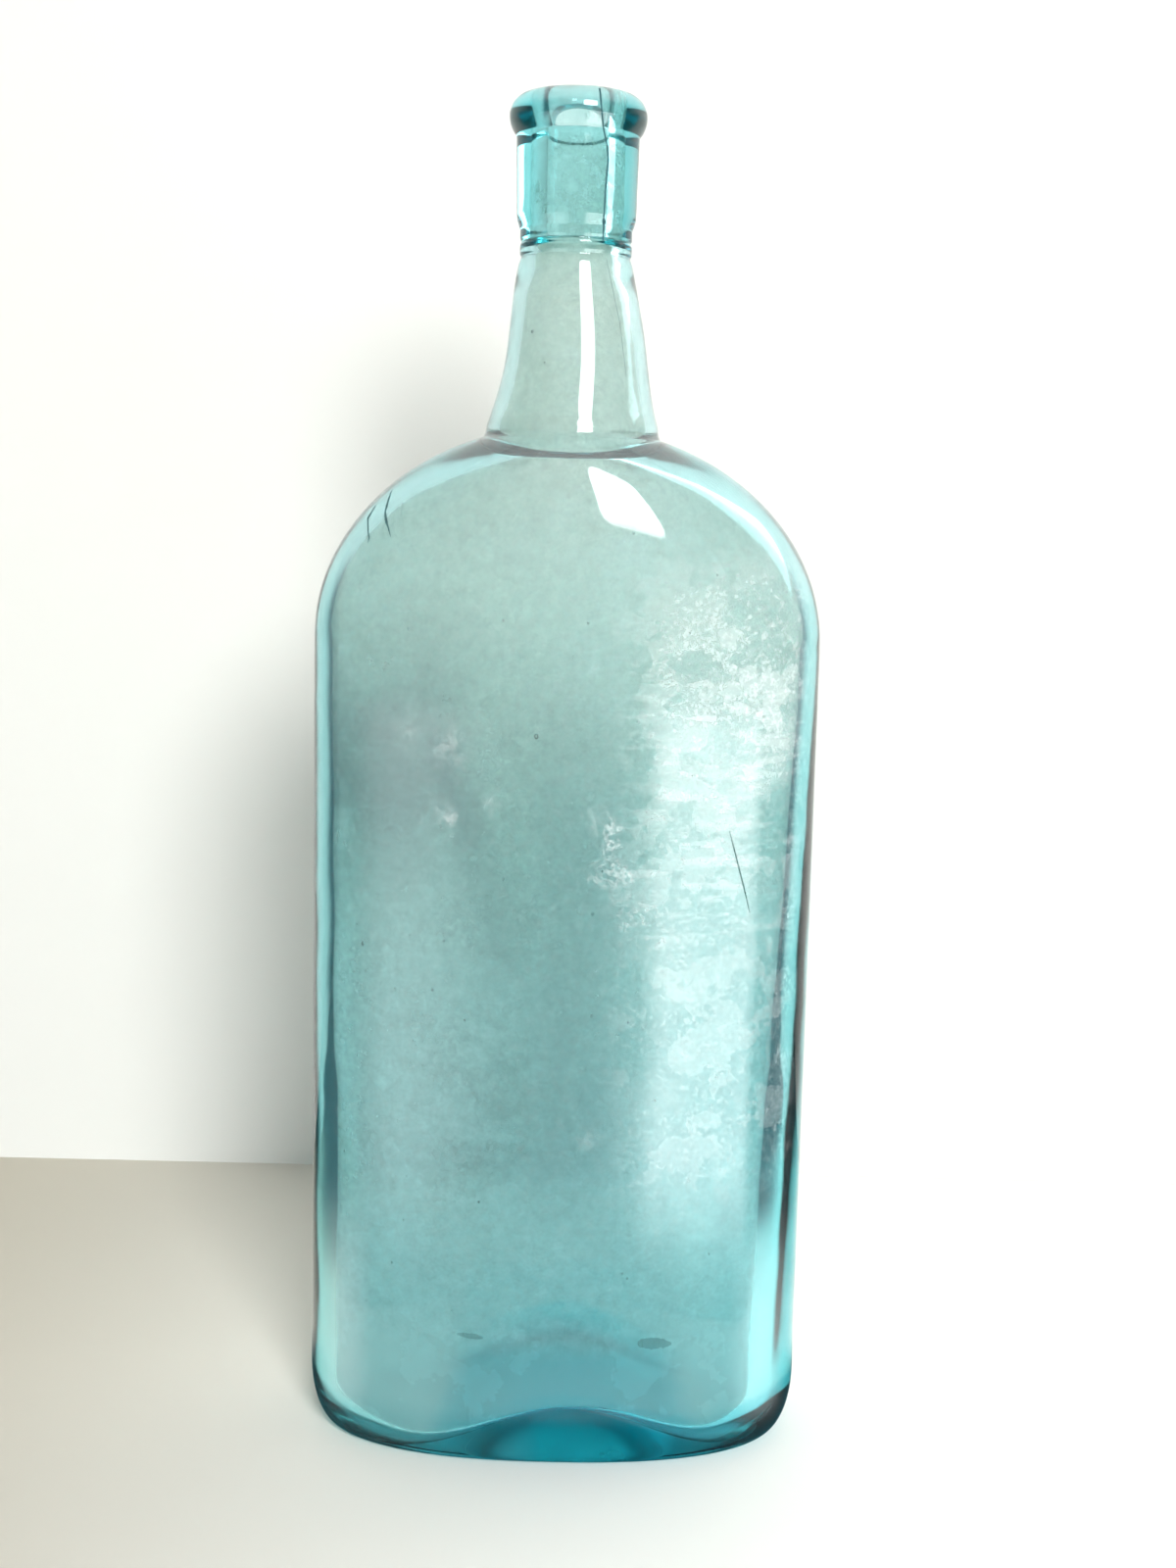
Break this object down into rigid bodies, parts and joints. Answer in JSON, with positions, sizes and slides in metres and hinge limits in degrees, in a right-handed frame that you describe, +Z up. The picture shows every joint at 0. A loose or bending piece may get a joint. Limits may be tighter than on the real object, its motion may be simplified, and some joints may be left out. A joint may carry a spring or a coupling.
{
  "type": "glass bottle",
  "caption": "Aqua mould-blown glass bottle with a flattened oval body, pushed-up base, domed shoulder, tapering neck and an applied beaded lip bored for a cork.",
  "frame": {"origin": "centre of the face the bottle stands on, on the neck's axis", "axes": "+Z up the neck's axis, +X across the broad face, +Y towards the back"},
  "size_m": [0.111, 0.061, 0.295],
  "materials": {
    "body_glass": "pale aqua soda-lime glass, smooth and slightly wavy, deeper teal where thick, with milky haze inside",
    "finish_glass": "the same aqua glass, thick and tooled smooth, so it looks deeper teal"
  },
  "bodies": {
    "root": {"bottle_body": "body_glass", "applied_finish": "finish_glass"}
  },
  "joints": []
}
